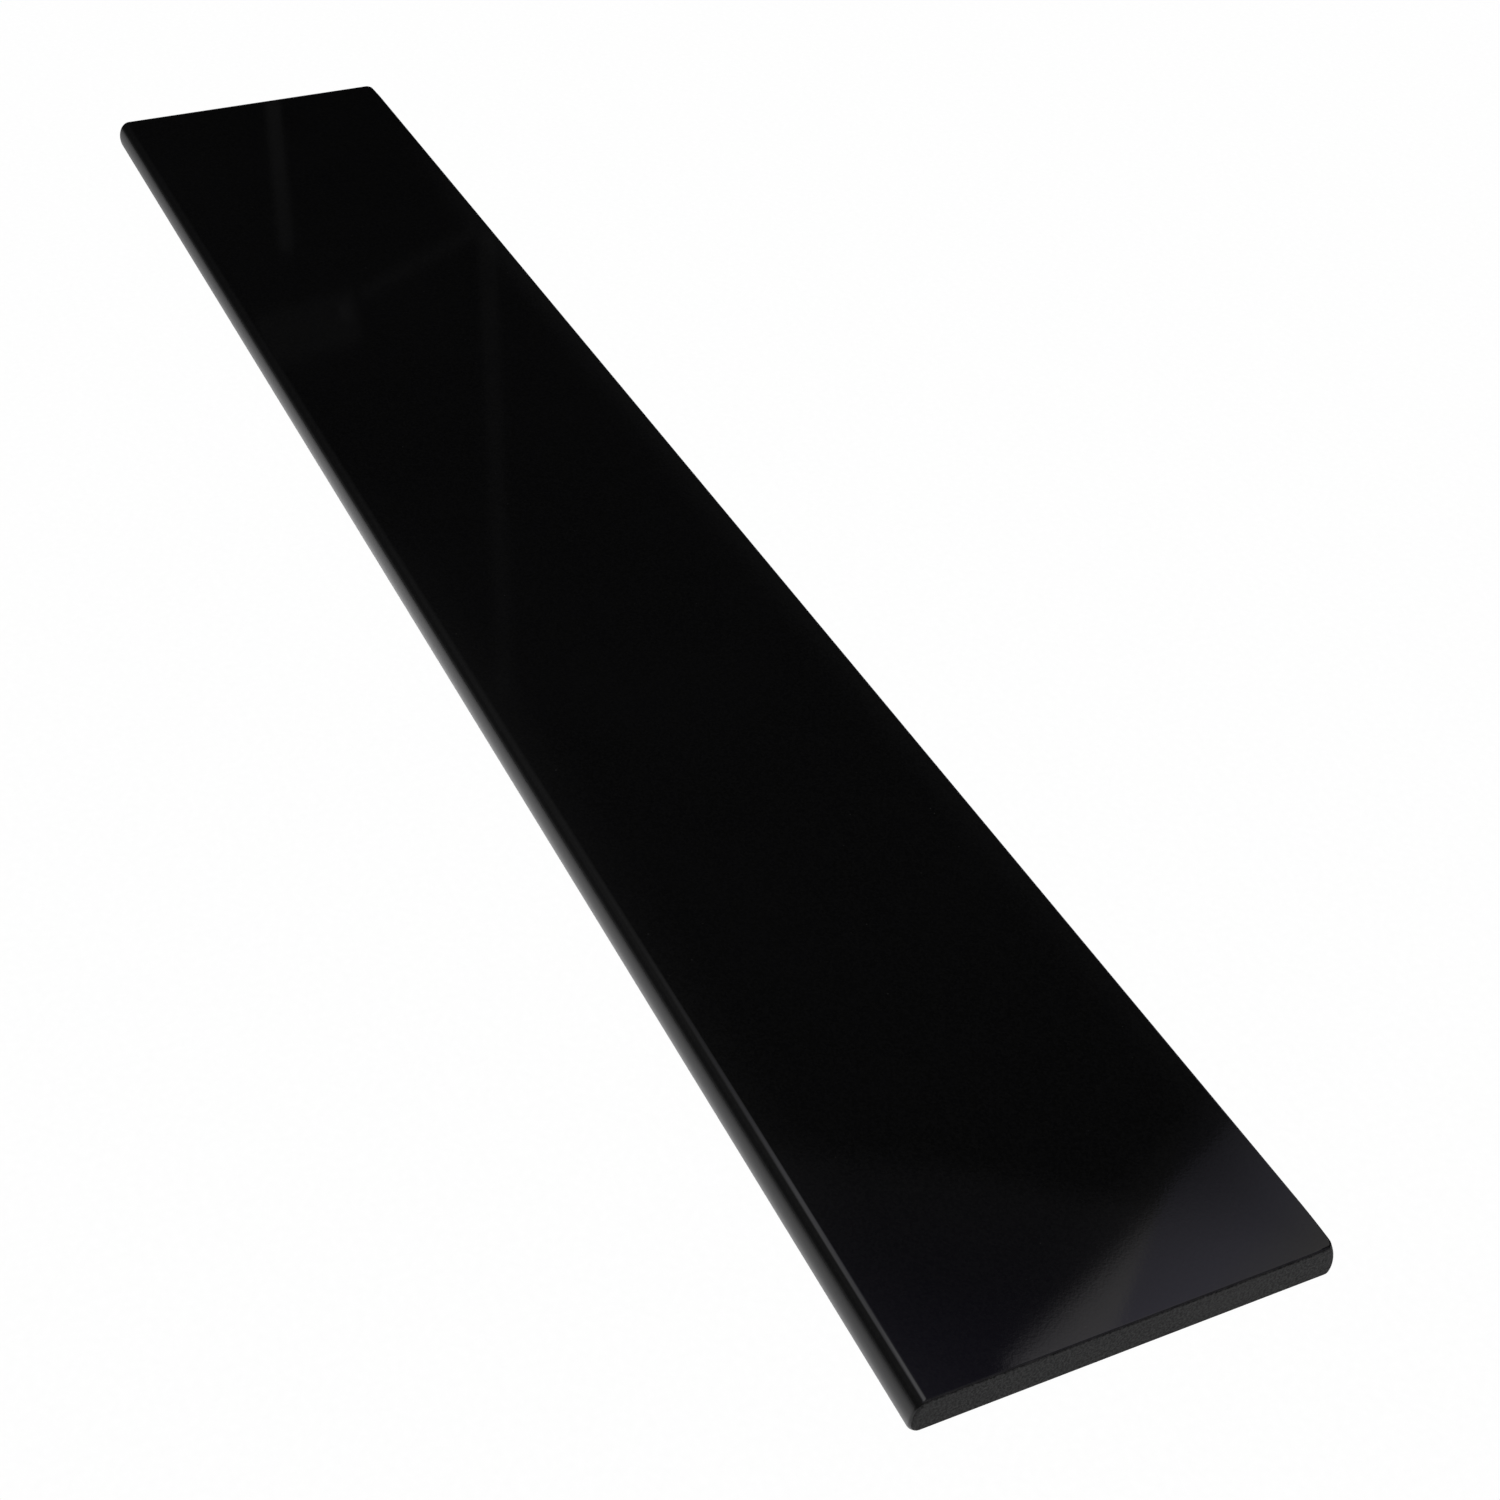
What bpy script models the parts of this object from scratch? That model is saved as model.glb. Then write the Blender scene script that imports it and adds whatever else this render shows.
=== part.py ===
"""Kick plate: a strip of polished black stone with one rounded long edge.

The plate lies on its back face.  X runs along its length, Y across it and Z up through
its thickness.  The origin is at the middle of the back face.  The rounded, polished nose
is the long edge at -Y, the square long edge is at +Y, and the two sawn ends are at -X
and +X.  The whole plate is one stone: it has no fixings, holes, seams or moving pieces.
"""
import math

import bmesh
import bpy

# Driving dimensions, in metres.
PLATE_LENGTH = 0.800
PLATE_WIDTH = 0.125
PLATE_THICKNESS = 0.0106

# The nose is a quarter ellipse from the polished face down to its widest line, and the
# heel is a flatter one from there down to the back face.
NOSE_REACH = 0.0049
NOSE_DROP = 0.0072
HEEL_REACH = 0.0008
HEEL_DROP = PLATE_THICKNESS - NOSE_DROP
NOSE_STEPS = 20
HEEL_STEPS = 8

# The four upright corners are eased on plan, and every sharp edge has a fine arris.
CORNER_RADIUS = 0.0012
CORNER_STEPS = 6
ARRIS = 0.0005
ARRIS_ANGLE = math.radians(50)

# The corner cutter runs past both faces by this much.
CUTTER_MARGIN = 0.005
WELD_DISTANCE = 0.00001

STONE_COLOUR = (0.0045, 0.0045, 0.0050, 1.0)
STONE_ROUGHNESS = 0.03


def clear_scene():
    """Remove every object that the file opened with."""
    for item in list(bpy.data.objects):
        bpy.data.objects.remove(item, do_unlink=True)


def new_collection(name):
    """A collection in the scene's own collection."""
    collection = bpy.data.collections.new(name)
    bpy.context.scene.collection.children.link(collection)
    return collection


def quarter_arc(centre, reach, start, steps):
    """Points a quarter turn anticlockwise from the start angle; reach is (across, up)."""
    points = []
    for step in range(steps + 1):
        angle = start + math.pi / 2 * step / steps
        across = centre[0] + reach[0] * math.cos(angle)
        up = centre[1] + reach[1] * math.sin(angle)
        points.append((across, up))
    return points


def section_outline():
    """The plate's cross-section as (Y, Z) points, anticlockwise seen from +X."""
    half = PLATE_WIDTH / 2
    square_edge = [(half, 0.0), (half, PLATE_THICKNESS)]
    nose_centre = (-half + NOSE_REACH, PLATE_THICKNESS - NOSE_DROP)
    nose = quarter_arc(nose_centre, (NOSE_REACH, NOSE_DROP), math.pi / 2, NOSE_STEPS)
    heel_centre = (-half + HEEL_REACH, HEEL_DROP)
    heel = quarter_arc(heel_centre, (HEEL_REACH, HEEL_DROP), math.pi, HEEL_STEPS)
    return square_edge + nose + heel[1:]


def plan_outline():
    """The plate seen from above, as (X, Y) points with eased corners."""
    inner_x = PLATE_LENGTH / 2 - CORNER_RADIUS
    inner_y = PLATE_WIDTH / 2 - CORNER_RADIUS
    reach = (CORNER_RADIUS, CORNER_RADIUS)
    points = []
    for turn, (side_x, side_y) in enumerate(((1, 1), (-1, 1), (-1, -1), (1, -1))):
        centre = (side_x * inner_x, side_y * inner_y)
        points += quarter_arc(centre, reach, math.pi / 2 * turn, CORNER_STEPS)
    return points


def prism(name, outline, height, collection):
    """A closed mesh prism on a flat outline, centred on its local XY plane."""
    curve = bpy.data.curves.new(name, "CURVE")
    curve.dimensions = "2D"
    curve.fill_mode = "BOTH"
    curve.extrude = height / 2
    spline = curve.splines.new("POLY")
    spline.points.add(len(outline) - 1)
    for point, (first, second) in zip(spline.points, outline):
        point.co = (first, second, 0.0, 1.0)
    spline.use_cyclic_u = True
    guide = bpy.data.objects.new(name + "_outline", curve)
    collection.objects.link(guide)
    bpy.context.view_layer.update()
    evaluated = guide.evaluated_get(bpy.context.evaluated_depsgraph_get())
    mesh = bpy.data.meshes.new_from_object(evaluated)
    mesh.name = name
    bpy.data.objects.remove(guide, do_unlink=True)
    weld_and_face_out(mesh)
    solid = bpy.data.objects.new(name, mesh)
    collection.objects.link(solid)
    return solid


def weld_and_face_out(mesh):
    """Join the caps to the sides and turn every face outwards."""
    edit = bmesh.new()
    edit.from_mesh(mesh)
    bmesh.ops.remove_doubles(edit, verts=edit.verts, dist=WELD_DISTANCE)
    bmesh.ops.recalc_face_normals(edit, faces=edit.faces)
    edit.to_mesh(mesh)
    edit.free()


def stone_material():
    """Mirror-polished black stone."""
    material = bpy.data.materials.new("polished_black_stone")
    material.use_nodes = True
    shader = material.node_tree.nodes["Principled BSDF"]
    shader.inputs["Base Color"].default_value = STONE_COLOUR
    shader.inputs["Roughness"].default_value = STONE_ROUGHNESS
    shader.inputs["Metallic"].default_value = 0.0
    material.diffuse_color = STONE_COLOUR
    return material


def corner_cutter(collection):
    """The upright prism whose eased corners trim the plate."""
    height = PLATE_THICKNESS + 2 * CUTTER_MARGIN
    cutter = prism("corner_cutter", plan_outline(), height, collection)
    cutter.location.z = PLATE_THICKNESS / 2
    cutter.hide_render = True
    cutter.display_type = "WIRE"
    return cutter


def stone_slab(collection, cutter):
    """The section swept along X, trimmed at its upright corners, with a fine arris."""
    slab = prism("stone_slab", section_outline(), PLATE_LENGTH, collection)
    slab.rotation_euler = (math.pi / 2, 0.0, math.pi / 2)
    trim = slab.modifiers.new("eased_corners", "BOOLEAN")
    trim.operation = "INTERSECT"
    trim.solver = "EXACT"
    trim.object = cutter
    arris = slab.modifiers.new("arris", "BEVEL")
    arris.width = ARRIS
    arris.segments = 2
    arris.limit_method = "ANGLE"
    arris.angle_limit = ARRIS_ANGLE
    slab.data.materials.append(stone_material())
    slab.data.shade_smooth()
    slab.data.set_sharp_from_angle(angle=math.radians(30))
    return slab


def build():
    """Make the plate and the cutter that trims it."""
    clear_scene()
    plate = new_collection("kick_plate")
    cutters = new_collection("cutters")
    stone_slab(plate, corner_cutter(cutters))


build()
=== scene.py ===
"""Looks of the kick plate: one strip of polished black stone on a white studio table.

Everything is in metres in the plate's own frame: X along its length, Y across it from the
rounded nose to the square edge, and Z up out of the polished face.
"""
import math

import bmesh
import bpy
from mathutils import Matrix, Vector

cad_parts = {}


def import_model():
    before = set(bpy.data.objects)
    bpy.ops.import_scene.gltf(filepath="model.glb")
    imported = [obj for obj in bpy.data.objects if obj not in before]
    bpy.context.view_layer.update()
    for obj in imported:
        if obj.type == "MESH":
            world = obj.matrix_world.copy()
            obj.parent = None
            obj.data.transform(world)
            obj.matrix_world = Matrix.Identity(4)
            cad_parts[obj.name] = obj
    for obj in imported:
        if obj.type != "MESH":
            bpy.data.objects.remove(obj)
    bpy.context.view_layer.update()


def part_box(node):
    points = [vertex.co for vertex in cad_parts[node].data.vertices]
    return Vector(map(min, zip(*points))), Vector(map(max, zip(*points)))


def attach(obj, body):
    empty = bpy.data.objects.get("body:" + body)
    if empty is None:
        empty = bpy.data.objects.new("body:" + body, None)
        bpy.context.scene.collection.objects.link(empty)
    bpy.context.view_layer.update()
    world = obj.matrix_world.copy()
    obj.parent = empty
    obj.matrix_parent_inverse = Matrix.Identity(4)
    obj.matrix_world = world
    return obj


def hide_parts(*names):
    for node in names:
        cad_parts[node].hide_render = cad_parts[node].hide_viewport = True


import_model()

PLATE = "stone_slab"
LOW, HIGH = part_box(PLATE)
LENGTH = HIGH.x - LOW.x
WIDTH = HIGH.y - LOW.y
THICKNESS = HIGH.z - LOW.z

# The section: a quarter ellipse for the nose, a flatter one for the heel under it, and a
# fine arris on every other edge.
NOSE_REACH = 0.0049
NOSE_DROP = 0.0072
HEEL_REACH = 0.0008
HEEL_DROP = THICKNESS - NOSE_DROP
EDGE_ARRIS = 0.0005
END_ARRIS = 0.0007
BACK_ARRIS = 0.0004

# The upright corners, on plan.  They are crisp at mid height and blunted at the back.  By the
# square edge they are also worn round at the polished face, and there the edge draws in a
# little over its last stretch.
NOSE_CORNER = 0.0011
SQUARE_CORNER = 0.0003
BLUNT_CORNER = 0.0016
BLUNT_POWER = 6
WORN_CORNER = 0.0030
WORN_POWER = 4
DRAWN_IN = 0.0006
DRAWN_LENGTH = 0.018

# How finely each stretch of the section, and of the length, is divided.
NOSE_STEPS = 40
HEEL_STEPS = 10
ARRIS_STEPS = 6
EDGE_STEPS = 12
FACE_STEPS = 24
END_STATIONS = 18
DRAWN_STATIONS = 12
DRAWN_START = 3
SPAN_STATIONS = 60
DEPTH_DIGITS = 7


# Shape -------------------------------------------------------------------------------

def arc(centre, reach, start, steps):
    """Points a quarter turn anticlockwise from the start angle; reach is (across, up)."""
    points = []
    for step in range(steps + 1):
        angle = start + math.pi / 2 * step / steps
        across = centre[0] + reach[0] * math.cos(angle)
        points.append((across, centre[1] + reach[1] * math.sin(angle)))
    return points


def between(first, last, height):
    """Points along a flat face, without its two ends."""
    span = last - first
    return [(first + span * step / FACE_STEPS, height) for step in range(1, FACE_STEPS)]


def section():
    """The plate's outline as (Y, Z) points, anticlockwise seen from +X."""
    half = WIDTH / 2
    arris = (EDGE_ARRIS, EDGE_ARRIS)
    points = arc((half - EDGE_ARRIS, EDGE_ARRIS), arris, -math.pi / 2, ARRIS_STEPS)
    rise = THICKNESS - 2 * EDGE_ARRIS
    points += [(half, EDGE_ARRIS + rise * step / EDGE_STEPS) for step in range(1, EDGE_STEPS)]
    points += arc((half - EDGE_ARRIS, THICKNESS - EDGE_ARRIS), arris, 0.0, ARRIS_STEPS)
    points += between(half - EDGE_ARRIS, -half + NOSE_REACH, THICKNESS)
    nose = (NOSE_REACH, NOSE_DROP)
    points += arc((-half + NOSE_REACH, THICKNESS - NOSE_DROP), nose, math.pi / 2, NOSE_STEPS)
    heel = (HEEL_REACH, HEEL_DROP)
    points += arc((-half + HEEL_REACH, HEEL_DROP), heel, math.pi, HEEL_STEPS)[1:]
    points += between(-half + HEEL_REACH, half - EDGE_ARRIS, 0.0)
    return points


def rounding(depth, radius):
    """How far a rounded edge has drawn in at this depth from the end plane."""
    if depth >= radius:
        return 0.0
    return radius - math.sqrt(radius ** 2 - (radius - depth) ** 2)


def depths():
    """Depths of the sections from the end plane, close together where the edges round."""
    turns = [math.pi / 2 * step / END_STATIONS for step in range(END_STATIONS + 1)]
    drawn = range(DRAWN_START, DRAWN_STATIONS + 1)
    found = {DRAWN_LENGTH * step / DRAWN_STATIONS for step in drawn}
    for radius in (END_ARRIS, NOSE_CORNER + BLUNT_CORNER, SQUARE_CORNER + WORN_CORNER):
        found |= {round(radius * (1 - math.sin(turn)), DEPTH_DIGITS) for turn in turns}
    return sorted(found)


def stations():
    """X of every section from one end to the other."""
    half = LENGTH / 2
    ends = depths()
    span = half - ends[-1]
    left = [-half + depth for depth in ends]
    middle = [-span + 2 * span * step / SPAN_STATIONS for step in range(1, SPAN_STATIONS)]
    right = [half - depth for depth in reversed(ends)]
    return left + middle + right


def drawn_in(depth, height, square):
    """How far a long edge has drawn in by a corner, at a height from 0 (back) to 1 (face)."""
    blunt = BLUNT_CORNER * (1 - height) ** BLUNT_POWER
    if not square:
        return rounding(depth, NOSE_CORNER + blunt)
    wear = height ** WORN_POWER
    near = max(0.0, 1 - depth / DRAWN_LENGTH)
    corner = rounding(depth, SQUARE_CORNER + blunt + WORN_CORNER * wear)
    return corner + DRAWN_IN * wear * near ** 2


def place(x, y, z):
    """A section point, drawn in where the end's corners and edges round off."""
    depth = LENGTH / 2 - abs(x)
    height = z / THICKNESS
    inset = drawn_in(depth, height, y > 0)
    top = THICKNESS - rounding(depth, END_ARRIS)
    bottom = rounding(depth, BACK_ARRIS)
    half = WIDTH / 2
    return Vector((x, y * (half - inset) / half, bottom + (top - bottom) * height))


def slab_mesh():
    """The plate lofted through its sections, with flat ends."""
    outline = section()
    edit = bmesh.new()
    rings = []
    for x in stations():
        rings.append([edit.verts.new(place(x, y, z)) for y, z in outline])
    count = len(outline)
    for ring, following in zip(rings, rings[1:]):
        for index in range(count):
            after = (index + 1) % count
            edit.faces.new((ring[index], ring[after], following[after], following[index]))
    edit.faces.new(list(reversed(rings[0])))
    edit.faces.new(rings[-1])
    bmesh.ops.recalc_face_normals(edit, faces=edit.faces)
    mesh = bpy.data.meshes.new("polished_slab")
    edit.to_mesh(mesh)
    edit.free()
    return mesh


# Node trees --------------------------------------------------------------------------

def grey(value):
    return (value, value, value, 1.0)


class Nodes:
    """A short way to build the node tree of a material, a light or the world."""

    def __init__(self, owner, output):
        owner.use_nodes = True
        self.owner = owner
        self.tree = owner.node_tree
        self.shader = self.tree.nodes[output]

    def add(self, kind, **settings):
        node = self.tree.nodes.new(kind)
        for key, value in settings.items():
            setattr(node, key, value)
        return node

    def put(self, socket, value):
        """Set a socket to a number or colour, or link it to another socket."""
        if isinstance(value, (int, float, tuple)):
            socket.default_value = value
        else:
            self.tree.links.new(value, socket)

    def place_of(self, stretch=(1.0, 1.0, 1.0)):
        """Object coordinates in metres, stretched along each axis."""
        coordinates = self.add("ShaderNodeTexCoord")
        mapping = self.add("ShaderNodeMapping")
        mapping.inputs["Scale"].default_value = stretch
        self.put(mapping.inputs["Vector"], coordinates.outputs["Object"])
        return mapping.outputs["Vector"]

    def noise(self, scale, detail, roughness, stretch=(1.0, 1.0, 1.0)):
        """Smooth noise, with its scale in waves a metre."""
        node = self.add("ShaderNodeTexNoise")
        node.inputs["Scale"].default_value = scale
        node.inputs["Detail"].default_value = detail
        node.inputs["Roughness"].default_value = roughness
        self.put(node.inputs["Vector"], self.place_of(stretch))
        return node.outputs["Fac"]

    def cells(self, scale):
        """Two random numbers for each crystal, and the distance to its middle."""
        node = self.add("ShaderNodeTexVoronoi")
        node.inputs["Scale"].default_value = scale
        self.put(node.inputs["Vector"], self.place_of())
        parts = self.add("ShaderNodeSeparateColor")
        self.put(parts.inputs["Color"], node.outputs["Color"])
        return parts.outputs["Red"], parts.outputs["Green"], node.outputs["Distance"]

    def axes(self, vector):
        node = self.add("ShaderNodeSeparateXYZ")
        self.put(node.inputs["Vector"], vector)
        return node.outputs["X"], node.outputs["Y"], node.outputs["Z"]

    def ramp(self, source, low, high, first=0.0, last=1.0, smooth=False):
        """The source stretched from low..high to first..last, and held beyond."""
        node = self.add("ShaderNodeMapRange")
        if smooth:
            node.interpolation_type = "SMOOTHSTEP"
        node.inputs["From Min"].default_value = low
        node.inputs["From Max"].default_value = high
        node.inputs["To Min"].default_value = first
        node.inputs["To Max"].default_value = last
        self.put(node.inputs["Value"], source)
        return node.outputs["Result"]

    def maths(self, operation, first, second):
        node = self.add("ShaderNodeMath", operation=operation)
        self.put(node.inputs[0], first)
        self.put(node.inputs[1], second)
        return node.outputs["Value"]

    def plus(self, first, second):
        return self.maths("ADD", first, second)

    def times(self, first, second):
        return self.maths("MULTIPLY", first, second)

    def along(self, vector, direction):
        """How far a vector reaches along a direction."""
        node = self.add("ShaderNodeVectorMath", operation="DOT_PRODUCT")
        self.put(node.inputs[0], vector)
        self.put(node.inputs[1], tuple(direction))
        return node.outputs["Value"]

    def mix(self, share, first, second, blend="MIX"):
        """Two colours mixed, or added, by a share."""
        node = self.add("ShaderNodeMix", data_type="RGBA", blend_type=blend)
        self.put(node.inputs["Factor"], share)
        self.put(node.inputs["A"], first)
        self.put(node.inputs["B"], second)
        return node.outputs["Result"]

    def steps(self, source, stops):
        """A colour ramp through (position, colour or grey) stops."""
        node = self.add("ShaderNodeValToRGB")
        ramp = node.color_ramp
        while len(ramp.elements) < len(stops):
            ramp.elements.new(1.0)
        for element, (position, colour) in zip(ramp.elements, stops):
            element.position = position
            element.color = colour if isinstance(colour, tuple) else grey(colour)
        self.put(node.inputs["Fac"], source)
        return node.outputs["Color"]

    def arris(self, width):
        """One on the arrises around the polished face, away from the nose, and zero inside."""
        x, y, z = self.axes(self.place_of())
        half = LENGTH / 2
        end = self.ramp(self.maths("ABSOLUTE", x, 0.0), half - width, half - width / 3)
        side = self.ramp(y, WIDTH / 2 - width, WIDTH / 2 - width / 3)
        top = self.ramp(z, THICKNESS - width, THICKNESS - width / 4)
        return self.times(self.maths("MAXIMUM", end, side), top)

    def bump(self, height, distance, strength, after=None):
        node = self.add("ShaderNodeBump")
        node.inputs["Distance"].default_value = distance
        node.inputs["Strength"].default_value = strength
        self.put(node.inputs["Height"], height)
        if after is not None:
            self.put(node.inputs["Normal"], after)
        return node.outputs["Normal"]

    def camera_sees(self):
        """One for rays straight from the camera, and nothing for reflections."""
        return self.add("ShaderNodeLightPath").outputs["Is Camera Ray"]


def material_nodes(name):
    return Nodes(bpy.data.materials.new(name), "Principled BSDF")


# Materials ---------------------------------------------------------------------------

# A pattern is (waves a metre, detail, roughness, and a stretch along each axis if it has one).
# A fade is (from, to, value at from, value at to), with values 0 and 1 if it has none.
# A relief is (depth, share of it).
STONE_IOR = 1.5

CRYSTALS = 1500.0
DARK_CRYSTAL = (0.0002, 0.0002, 0.0003, 1.0)
LIGHT_CRYSTAL = (0.0015, 0.0015, 0.0016, 1.0)
CLOUD = (0.0016, 0.0016, 0.0018, 1.0)
CLOUD_PATTERN = (14.0, 5.0, 0.6)
CLOUD_FADE = (0.45, 0.75, 0.0, 0.4)
FLAKE = (0.012, 0.012, 0.0115, 1.0)
FLAKES_ABOVE = 0.9993
FLAKE_FADE = (0.45, 0.2)
RUBBED = (0.0135, 0.013, 0.0135, 1.0)
RUBBED_WIDTH = 0.0008
RUBBED_ROUGHNESS = 0.30
RUBBED_PATTERN = (260.0, 5.0, 0.7)
RUBBED_FADE = (0.30, 0.62, 0.45, 1.0)
HAZE_PATTERN = (9.0, 5.0, 0.5)
HAZE_FADE = (0.3, 0.7, 0.018, 0.04)
SMEAR_PATTERN = (30.0, 6.0, 0.6, (0.25, 1.0, 1.0))
SMEAR_FADE = (0.5, 0.8, 0.0, 0.025)
RIPPLE_PATTERN = (26.0, 2.0, 0.5)
RIPPLE_RELIEF = (0.00002, 0.15)
POLISHED_PATTERN = (1100.0, 3.0, 0.6)
POLISHED_RELIEF = (0.0000028, 1.0)

HONED_DARK = grey(0.002)
HONED_LIGHT = grey(0.027)
HONED_PATTERN = (1300.0, 3.0, 0.6)
HONED_FADE = (0.4, 0.6)
HONED_RELIEF = (0.00006, 0.9)
HONED_CLOUD = grey(0.018)
HONED_CLOUD_PATTERN = (60.0, 4.0, 0.5)
HONED_CLOUD_FADE = (0.4, 0.7, 0.0, 0.3)
HONED_SPECULAR = 0.09
GRINDING_PATTERN = (900.0, 4.0, 0.6, (0.04, 0.04, 1.6))
GRINDING_ROUGHNESS = (0.3, 0.7, 0.40, 0.50)
GRINDING_RELIEF = (0.00003, 0.2)

SAWN_DARK = grey(0.020)
SAWN_LIGHT = grey(0.034)
SAWN_PATTERN = (1800.0, 4.0, 0.6)
SAWN_FADE = (0.3, 0.7)
SAWN_ROUGHNESS = (0.3, 0.7, 0.72, 0.86)
SAWN_RELIEF = (0.00008, 0.5)
SAWN_SPECULAR = 0.3
DUST = (0.050, 0.049, 0.047, 1.0)
DUST_PATTERN = (22.0, 5.0, 0.6)
DUST_FADE = (0.45, 0.75, 0.0, 0.6)
SAW_MARK_PATTERN = (420.0, 3.0, 0.6, (1.0, 0.02, 1.0))
SAW_MARK_RELIEF = (0.00012, 0.6)

# Painted shade in the table's colour, which only reflections see: darker out from the long
# edges, over SHADE_OUT, and back from the middle of the plate towards its far end, over
# SHADE_BACK.
SHADE_OUT = 0.5
SHADE_BACK = 0.6
SHADE_OUT_STOPS = ((0.03, 1.0), (0.06, 0.86), (0.10, 0.72), (0.20, 0.57), (1.0, 0.42))
SHADE_BACK_STOPS = ((0.0, 1.0), (0.17, 0.84), (0.42, 0.56), (0.67, 0.42), (1.0, 0.36))
FIBRE_PATTERN = (400.0, 6.0, 0.5)
FIBRE_FADE = (0.3, 0.7, 0.80, 0.84)
TABLE_GLOW_FADE = (0.3, 0.7, 0.985, 1.0)
TABLE_ROUGHNESS = 0.9


def polished_material():
    """Mirror-polished black stone: fine crystals under a glassy face."""
    n = material_nodes("polished_black_stone")
    tone, pick, reach = n.cells(CRYSTALS)
    body = n.mix(tone, DARK_CRYSTAL, LIGHT_CRYSTAL)
    body = n.mix(n.ramp(n.noise(*CLOUD_PATTERN), *CLOUD_FADE), body, CLOUD)
    flakes = n.times(n.ramp(pick, FLAKES_ABOVE, 1.0), n.ramp(reach, *FLAKE_FADE))
    body = n.mix(flakes, body, FLAKE)
    # the arrises are rubbed dull, unevenly along their length
    uneven = n.ramp(n.noise(*RUBBED_PATTERN), *RUBBED_FADE)
    rubbed = n.times(n.arris(RUBBED_WIDTH), uneven)
    n.put(n.shader.inputs["Base Color"], n.mix(rubbed, body, RUBBED))
    haze = n.ramp(n.noise(*HAZE_PATTERN), *HAZE_FADE)
    smear = n.ramp(n.noise(*SMEAR_PATTERN), *SMEAR_FADE)
    dull = n.times(rubbed, RUBBED_ROUGHNESS)
    n.put(n.shader.inputs["Roughness"], n.plus(dull, n.plus(haze, smear)))
    ripple = n.bump(n.noise(*RIPPLE_PATTERN), *RIPPLE_RELIEF)
    grain = n.bump(n.noise(*POLISHED_PATTERN), *POLISHED_RELIEF, ripple)
    n.put(n.shader.inputs["Normal"], grain)
    n.shader.inputs["IOR"].default_value = STONE_IOR
    return n.owner


def honed_material():
    """Sawn and honed stone: dull and nearly black, with fine grinding lines."""
    n = material_nodes("honed_black_stone")
    grain = n.noise(*HONED_PATTERN)
    lines = n.noise(*GRINDING_PATTERN)
    body = n.mix(n.ramp(grain, *HONED_FADE), HONED_DARK, HONED_LIGHT)
    cloud = n.ramp(n.noise(*HONED_CLOUD_PATTERN), *HONED_CLOUD_FADE)
    n.put(n.shader.inputs["Base Color"], n.mix(cloud, body, HONED_CLOUD))
    n.put(n.shader.inputs["Roughness"], n.ramp(lines, *GRINDING_ROUGHNESS))
    relief = n.bump(lines, *GRINDING_RELIEF)
    n.put(n.shader.inputs["Normal"], n.bump(grain, *HONED_RELIEF, relief))
    n.shader.inputs["IOR"].default_value = STONE_IOR
    n.shader.inputs["Specular IOR Level"].default_value = HONED_SPECULAR
    return n.owner


def sawn_material():
    """The rough back, with the marks of the saw across it."""
    n = material_nodes("sawn_black_stone")
    grain = n.noise(*SAWN_PATTERN)
    marks = n.noise(*SAW_MARK_PATTERN)
    body = n.mix(n.ramp(grain, *SAWN_FADE), SAWN_DARK, SAWN_LIGHT)
    dust = n.ramp(n.noise(*DUST_PATTERN), *DUST_FADE)
    n.put(n.shader.inputs["Base Color"], n.mix(dust, body, DUST))
    n.put(n.shader.inputs["Roughness"], n.ramp(grain, *SAWN_ROUGHNESS))
    relief = n.bump(marks, *SAW_MARK_RELIEF)
    n.put(n.shader.inputs["Normal"], n.bump(grain, *SAWN_RELIEF, relief))
    n.shader.inputs["Specular IOR Level"].default_value = SAWN_SPECULAR
    return n.owner


def floor_material():
    """Matt white acrylic lit from below: pure white to the camera, with painted shade in its
    colour for reflections.
    """
    n = material_nodes("lit_white_table_painted_shade")
    x, y, _ = n.axes(n.place_of())
    aside = n.maths("SUBTRACT", n.maths("ABSOLUTE", y, 0.0), WIDTH / 2)
    out = n.steps(n.ramp(aside, 0.0, SHADE_OUT), SHADE_OUT_STOPS)
    back = n.steps(n.ramp(x, 0.0, -SHADE_BACK), SHADE_BACK_STOPS)
    fibre = n.ramp(n.noise(*FIBRE_PATTERN), *FIBRE_FADE)
    # painted shade: the table's colour darkens away from the plate's long edges and towards
    # its far end, and only reflections see it
    painted_shade = n.times(fibre, n.times(out, back))
    n.put(n.shader.inputs["Base Color"], n.mix(n.camera_sees(), painted_shade, grey(0.0)))
    n.shader.inputs["Roughness"].default_value = TABLE_ROUGHNESS
    n.shader.inputs["Specular IOR Level"].default_value = 0.0
    n.shader.inputs["Emission Color"].default_value = grey(1.0)
    glow = n.ramp(n.noise(*FIBRE_PATTERN), *TABLE_GLOW_FADE)
    n.put(n.shader.inputs["Emission Strength"], n.times(n.camera_sees(), glow))
    return n.owner


# Pieces ------------------------------------------------------------------------------

POLISHED, HONED, SAWN = range(3)

# A face counts as the back, an end, the square edge or upright by its normal, and as an end
# or the square edge only within this margin of it.
FINISH_MARGIN = 0.004
BACK_NORMAL = -0.9
END_NORMAL = 0.75
EDGE_NORMAL = 0.5
UPRIGHT_NORMAL = 0.6

FLOOR_RADIUS = 6.0
FLOOR_SIDES = 96
FLOOR_GAP = 0.0002


def finish_of(face):
    """Which of the three finishes a face of the plate has."""
    centre = face.center
    normal = face.normal
    if normal.z < BACK_NORMAL:
        return SAWN
    at_end = LENGTH / 2 - abs(centre.x) < FINISH_MARGIN and abs(normal.x) > END_NORMAL
    at_edge = centre.y > WIDTH / 2 - FINISH_MARGIN and normal.y > EDGE_NORMAL
    if abs(normal.z) < UPRIGHT_NORMAL and (at_end or at_edge):
        return HONED
    return POLISHED


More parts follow.
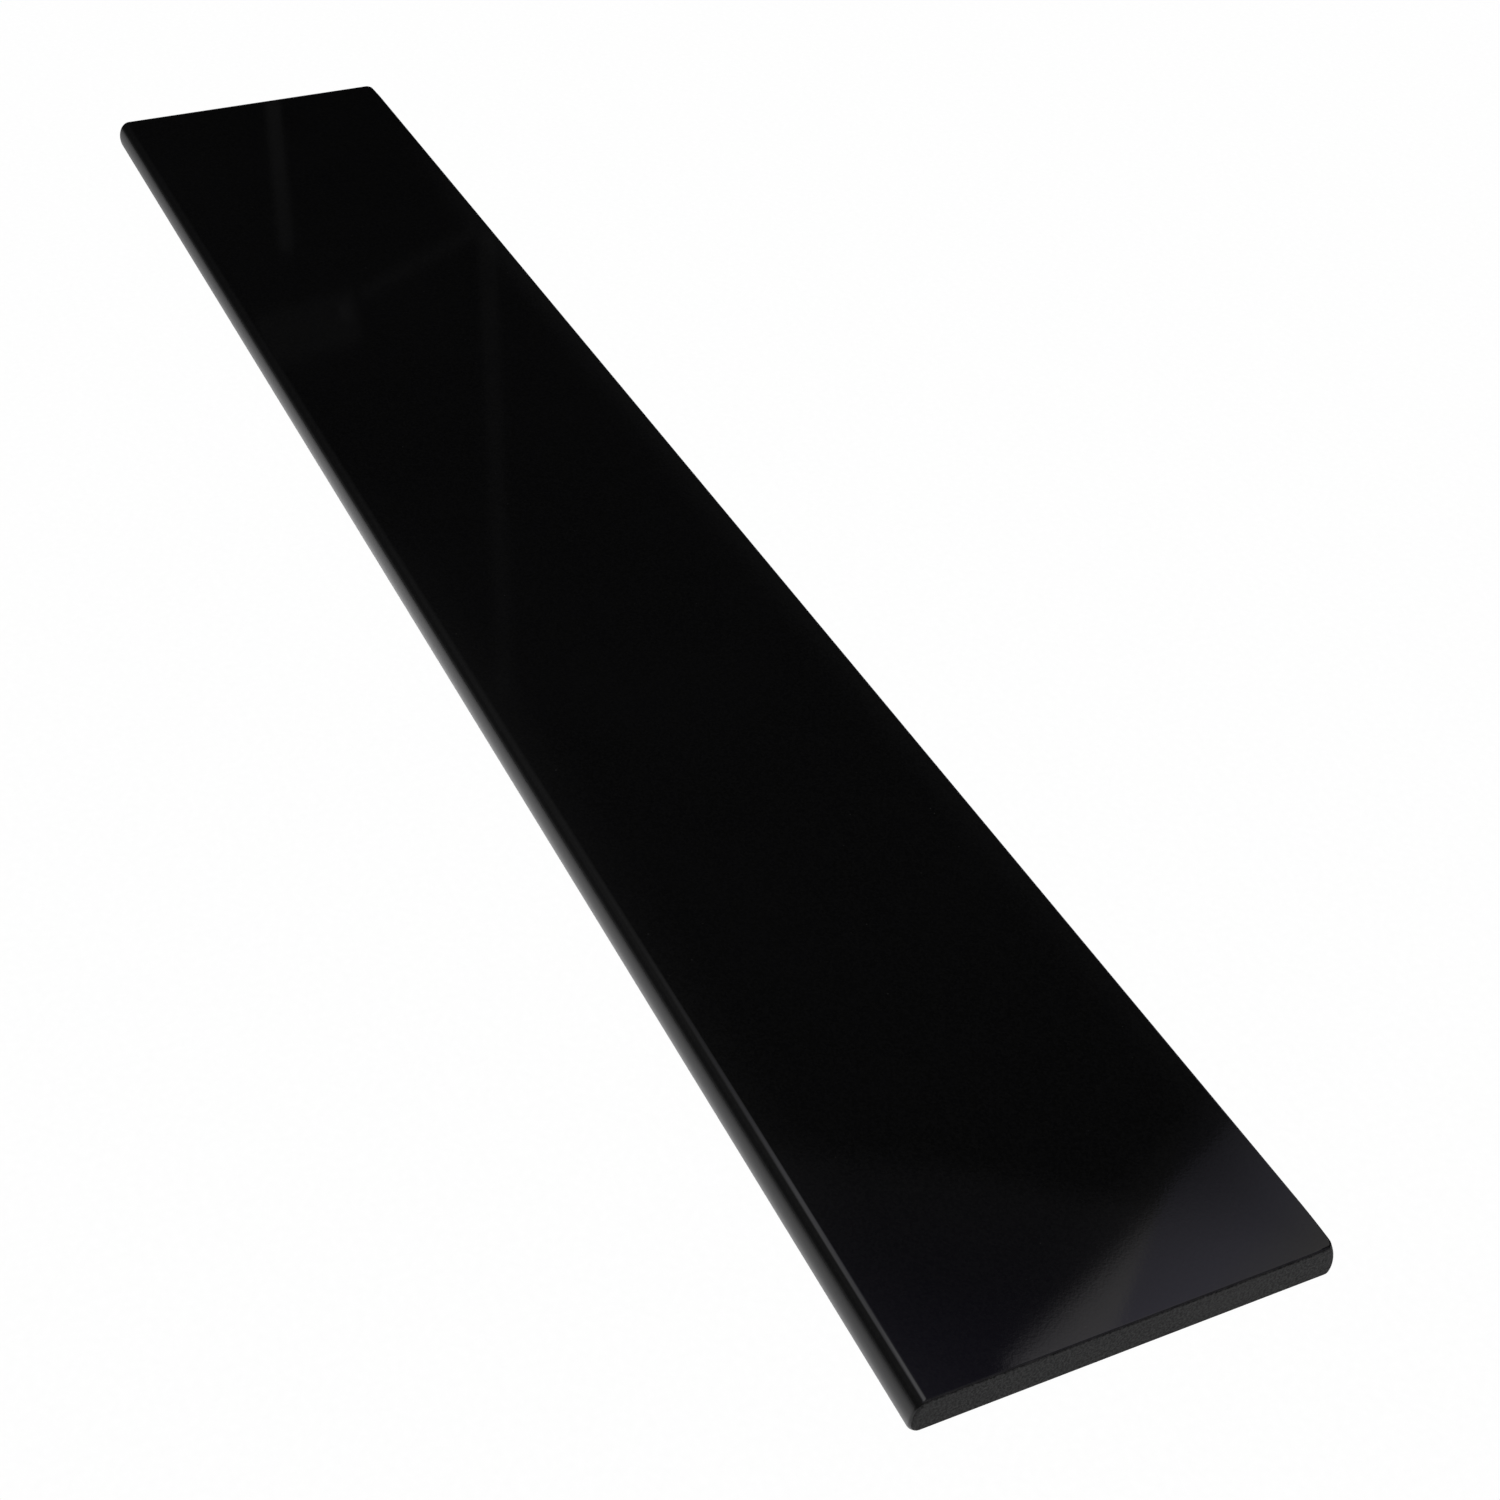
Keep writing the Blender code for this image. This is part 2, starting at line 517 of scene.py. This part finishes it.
def polished_slab():
    """The visible plate: polished face and nose, honed ends and square edge, sawn back."""
    mesh = slab_mesh()
    piece = bpy.data.objects.new("polished_slab", mesh)
    bpy.context.scene.collection.objects.link(piece)
    for material in (polished_material(), honed_material(), sawn_material()):
        mesh.materials.append(material)
    for face in mesh.polygons:
        face.material_index = finish_of(face)
    mesh.shade_smooth()
    weigh = piece.modifiers.new("weighted_normals", "WEIGHTED_NORMAL")
    weigh.mode = "FACE_AREA"
    weigh.weight = 100
    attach(piece, "root")
    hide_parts(PLATE)


def floor():
    """The white table, just under the plate's back."""
    mesh = bpy.data.meshes.new("floor")
    edit = bmesh.new()
    bmesh.ops.create_circle(edit, cap_ends=True, segments=FLOOR_SIDES, radius=FLOOR_RADIUS)
    edit.to_mesh(mesh)
    edit.free()
    ground = bpy.data.objects.new("floor", mesh)
    bpy.context.scene.collection.objects.link(ground)
    ground.location.z = -FLOOR_GAP
    mesh.materials.append(floor_material())


# Camera ------------------------------------------------------------------------------

CAMERA_PLACE = Vector((0.70582, -0.26448, 0.49571))
CAMERA_AIM = Vector((0.15201, 0.01018, THICKNESS))
CAMERA_ROLL = math.radians(2.153)
CAMERA_LENS = 58.26


def look_at(eye, target, roll=0.0):
    """A matrix at a place whose -Z axis points at a target."""
    back = (eye - target).normalized()
    right = Vector((0, 0, 1)).cross(back).normalized()
    up = back.cross(right)
    turn = Matrix((right, up, back)).transposed().to_4x4()
    return Matrix.Translation(eye) @ turn @ Matrix.Rotation(roll, 4, "Z")


def camera():
    data = bpy.data.cameras.new("camera")
    data.lens = CAMERA_LENS
    eye = bpy.data.objects.new("camera", data)
    eye.matrix_world = look_at(CAMERA_PLACE, CAMERA_AIM, CAMERA_ROLL)
    bpy.context.scene.collection.objects.link(eye)
    bpy.context.scene.camera = eye


# Lights ------------------------------------------------------------------------------

CEILING = 2.0
WALL = -3.0

KEY_FROM = Vector((0.30, -0.30, 0.90))
KEY_STRENGTH = 2.85
KEY_ANGLE = math.radians(50)

# The nose box fades along X, over NOSE_FADE_SPAN, by NOSE_FADE_STOPS.  It is bounded by fades
# in Y, and by one along a slanting line.
NOSE_BOX_MIDDLE = (-1.1, -0.3)
NOSE_BOX_SIZE = (2.2, 2.4)
NOSE_FADE_SPAN = (-2.1, -0.70)
NOSE_FADE_STOPS = (
    (0.0, 0.0), (0.23, 0.028), (0.375, 0.072), (0.50, 0.165), (0.607, 0.37), (0.714, 0.74),
    (0.821, 0.66), (0.864, 0.62), (0.90, 1.05), (1.0, 1.3),
)
NOSE_LOW_FADE = (-1.35, -0.65)
NOSE_CAP_FADE = (0.80, 0.60)
NOSE_SLANT = 1.3
NOSE_SLANT_FADE = (-0.66, -1.26)

# The corner box: a point near its edge, the way along that edge, and the way across it.  Its
# light is made of fades in those two directions.
BOX_EDGE = Vector((-0.864, 0.893, 0.0))
BOX_ALONG = Vector((-0.406, 0.914, 0.0))
BOX_ACROSS = Vector((0.914, 0.406, 0.0))
BOX_MIDDLE = BOX_EDGE + BOX_ALONG * 0.65 + BOX_ACROSS * 0.15
BOX_SIZE = (1.5, 0.46)
BOX_ANGLE = 113.95
GLOW_ACROSS = (0.0, 0.25, 0.09, 0.54)
GLOW_ALONG = (0.45, 0.0, 0.0, 0.36)
WEDGE_SLANT = 2.96
WEDGE_FADE = (0.386, 0.366)
WEDGE_GLOW = (0.01, 0.05, 0.07, 0.18)
SHARP_EDGE = (-0.0145, 0.0015)
SOFT_EDGE = (-0.0145, 0.028)
FRINGE_ACROSS = (-0.075, -0.01, 0.0, 0.04)
FRINGE_ALONG = (0.1, 0.3)
PLAIN_ACROSS = (0.12, 0.20)
VIOLET_LIGHT = (0.96, 0.93, 1.16, 1.0)
PLAIN_LIGHT = (1.02, 0.99, 1.0, 1.0)

# The dim shapes on the far wall: name, middle (Y, Z), size, radiance, and tilt in degrees.
WALL_PATCHES = (
    ("door_gap", (0.664, 1.28), (0.025, 0.28), 0.018, 0.0),
    ("shelf", (0.690, 1.573), (0.18, 0.107), 0.010, 6.8),
    ("shelf_lamp", (0.757, 1.552), (0.020, 0.022), 0.115, 0.0),
    ("rail", (0.892, 1.485), (0.23, 0.012), 0.023, 20.6),
    ("post", (1.021, 1.955), (0.034, 1.01), 0.011, 0.0),
)


def key_light():
    """A broad distant light that only acts on matt surfaces."""
    data = bpy.data.lights.new("key", "SUN")
    data.energy = KEY_STRENGTH
    data.angle = KEY_ANGLE
    lamp = bpy.data.objects.new("key", data)
    lamp.matrix_world = look_at(KEY_FROM, Vector((0, 0, 0)))
    lamp.visible_glossy = False
    bpy.context.scene.collection.objects.link(lamp)


def soft_box(name, size, matrix, radiance=1.0):
    """A rectangular light that shines along its own -Z, with its emission node's tree."""
    data = bpy.data.lights.new(name, "AREA")
    data.shape = "RECTANGLE"
    data.size, data.size_y = size
    data.energy = radiance * size[0] * size[1] * math.pi
    lamp = bpy.data.objects.new(name, data)
    lamp.matrix_world = matrix
    lamp.visible_camera = False
    bpy.context.scene.collection.objects.link(lamp)
    return Nodes(data, "Emission")


def overhead(name, middle, size, angle):
    """A soft box in the ceiling that faces straight down, and the place lit on it."""
    turn = Matrix.Rotation(math.radians(angle), 4, "Z")
    n = soft_box(name, size, Matrix.Translation((*middle, CEILING)) @ turn)
    return n, n.add("ShaderNodeNewGeometry").outputs["Position"]


def nose_box():
    """The soft box that draws the fine line along the nose, fading to the far end."""
    n, point = overhead("nose_box", NOSE_BOX_MIDDLE, NOSE_BOX_SIZE, 0.0)
    x, y, _ = n.axes(point)
    fade = n.steps(n.ramp(x, *NOSE_FADE_SPAN), NOSE_FADE_STOPS)
    low = n.ramp(y, *NOSE_LOW_FADE, smooth=True)
    slant = n.plus(y, n.times(x, NOSE_SLANT))
    side = n.ramp(slant, *NOSE_SLANT_FADE, smooth=True)
    cap = n.ramp(y, *NOSE_CAP_FADE, smooth=True)
    shape = n.times(n.times(low, side), cap)
    n.put(n.shader.inputs["Strength"], n.times(fade, shape))


def corner_box():
    """The soft box whose edge crosses the near corner of the plate's reflection."""
    n, point = overhead("corner_box", BOX_MIDDLE.xy, BOX_SIZE, BOX_ANGLE)
    across = n.maths("SUBTRACT", n.along(point, BOX_ACROSS), BOX_ACROSS.dot(BOX_EDGE))
    along = n.maths("SUBTRACT", n.along(point, BOX_ALONG), BOX_ALONG.dot(BOX_EDGE))
    glow = n.plus(n.ramp(across, *GLOW_ACROSS), n.ramp(along, *GLOW_ALONG))
    # a warmer wedge with a softer edge lies against the near half of the edge
    slant = n.plus(along, n.times(across, WEDGE_SLANT))
    warm = n.ramp(slant, *WEDGE_FADE, smooth=True)
    glow = n.plus(glow, n.times(warm, n.ramp(across, *WEDGE_GLOW)))
    sharp = n.ramp(across, *SHARP_EDGE, smooth=True)
    soft = n.ramp(across, *SOFT_EDGE, smooth=True)
    edge = n.mix(warm, sharp, soft)
    fringe = n.times(n.ramp(across, *FRINGE_ACROSS), n.ramp(along, *FRINGE_ALONG))
    n.put(n.shader.inputs["Strength"], n.plus(fringe, n.times(edge, glow)))
    plain = n.maths("MAXIMUM", warm, n.ramp(across, *PLAIN_ACROSS))
    n.put(n.shader.inputs["Color"], n.mix(plain, VIOLET_LIGHT, PLAIN_LIGHT))


def far_room():
    """The few dim shapes of the room that the far end of the plate reflects."""
    for name, middle, size, radiance, tilt in WALL_PATCHES:
        centre = Vector((WALL, *middle))
        turn = look_at(centre, centre + Vector((1, 0, 0)), math.radians(tilt))
        soft_box(name, size, turn, radiance)


# World -------------------------------------------------------------------------------

# The room's colour by how far up a reflection looks, and the glow on the nose's side by how
# far it looks towards the plate's far end.
ROOM_STOPS = (
    (0.0, 0.003), (0.39, 0.009), (0.50, 0.016), (0.62, 0.026), (0.735, 0.032),
    (0.741, (0.064, 0.063, 0.067, 1.0)), (0.765, (0.063, 0.060, 0.078, 1.0)),
    (0.780, (0.084, 0.078, 0.116, 1.0)), (0.80, (0.138, 0.130, 0.186, 1.0)), (1.0, 0.12),
)
BEHIND_STOPS = (
    (0.0, 0.10), (0.5, 0.10), (0.7, 0.085), (0.77, 0.062), (0.84, 0.036), (0.9, 0.020),
    (1.0, 0.015),
)
BEHIND_FADE = (0.22, -0.2)

# The ceiling's borders lie by the slope of a reflection across the plate.
NOSE_BORDER = (0.455, 0.415, 0.0, 0.026)
NOSE_BORDER_END = (-0.83, -0.76)
EDGE_BORDER = (0.652, 0.668, 0.0, 0.018)
CEILING_FADE = (0.4, 0.45)

# The band low down on the nose's side, by how far aside and how far up a reflection looks.
HORIZON_ASIDE = (-0.35, -0.8, 0.0, 0.26)
HORIZON_UP = (0.2, -0.05)


def ceiling_borders(n, x, y, z):
    """Faint borders of the ceiling, seen just inside the nose and the square edge."""
    tilt = n.maths("DIVIDE", y, z)
    by_nose = n.times(n.ramp(tilt, *NOSE_BORDER), n.ramp(x, *NOSE_BORDER_END))
    by_edge = n.ramp(tilt, *EDGE_BORDER)
    return n.times(n.plus(by_nose, by_edge), n.ramp(z, *CEILING_FADE))


def world():
    """A dim room, brighter overhead and behind the nose, on a white backdrop."""
    n = Nodes(bpy.data.worlds.new("room"), "Background")
    x, y, z = n.axes(n.add("ShaderNodeTexCoord").outputs["Generated"])
    room = n.steps(z, ROOM_STOPS)
    behind = n.times(n.steps(n.times(x, -1.0), BEHIND_STOPS), n.ramp(y, *BEHIND_FADE))
    low = n.ramp(z, *HORIZON_UP, smooth=True)
    horizon = n.times(n.ramp(y, *HORIZON_ASIDE), low)
    light = n.plus(n.plus(behind, ceiling_borders(n, x, y, z)), horizon)
    lit_room = n.mix(1.0, room, light, "ADD")
    n.put(n.shader.inputs["Color"], n.mix(n.camera_sees(), lit_room, grey(1.0)))
    bpy.context.scene.world = n.owner


camera()
world()
floor()
polished_slab()
key_light()
nose_box()
corner_box()
far_room()
bpy.context.scene.view_settings.view_transform = "Standard"
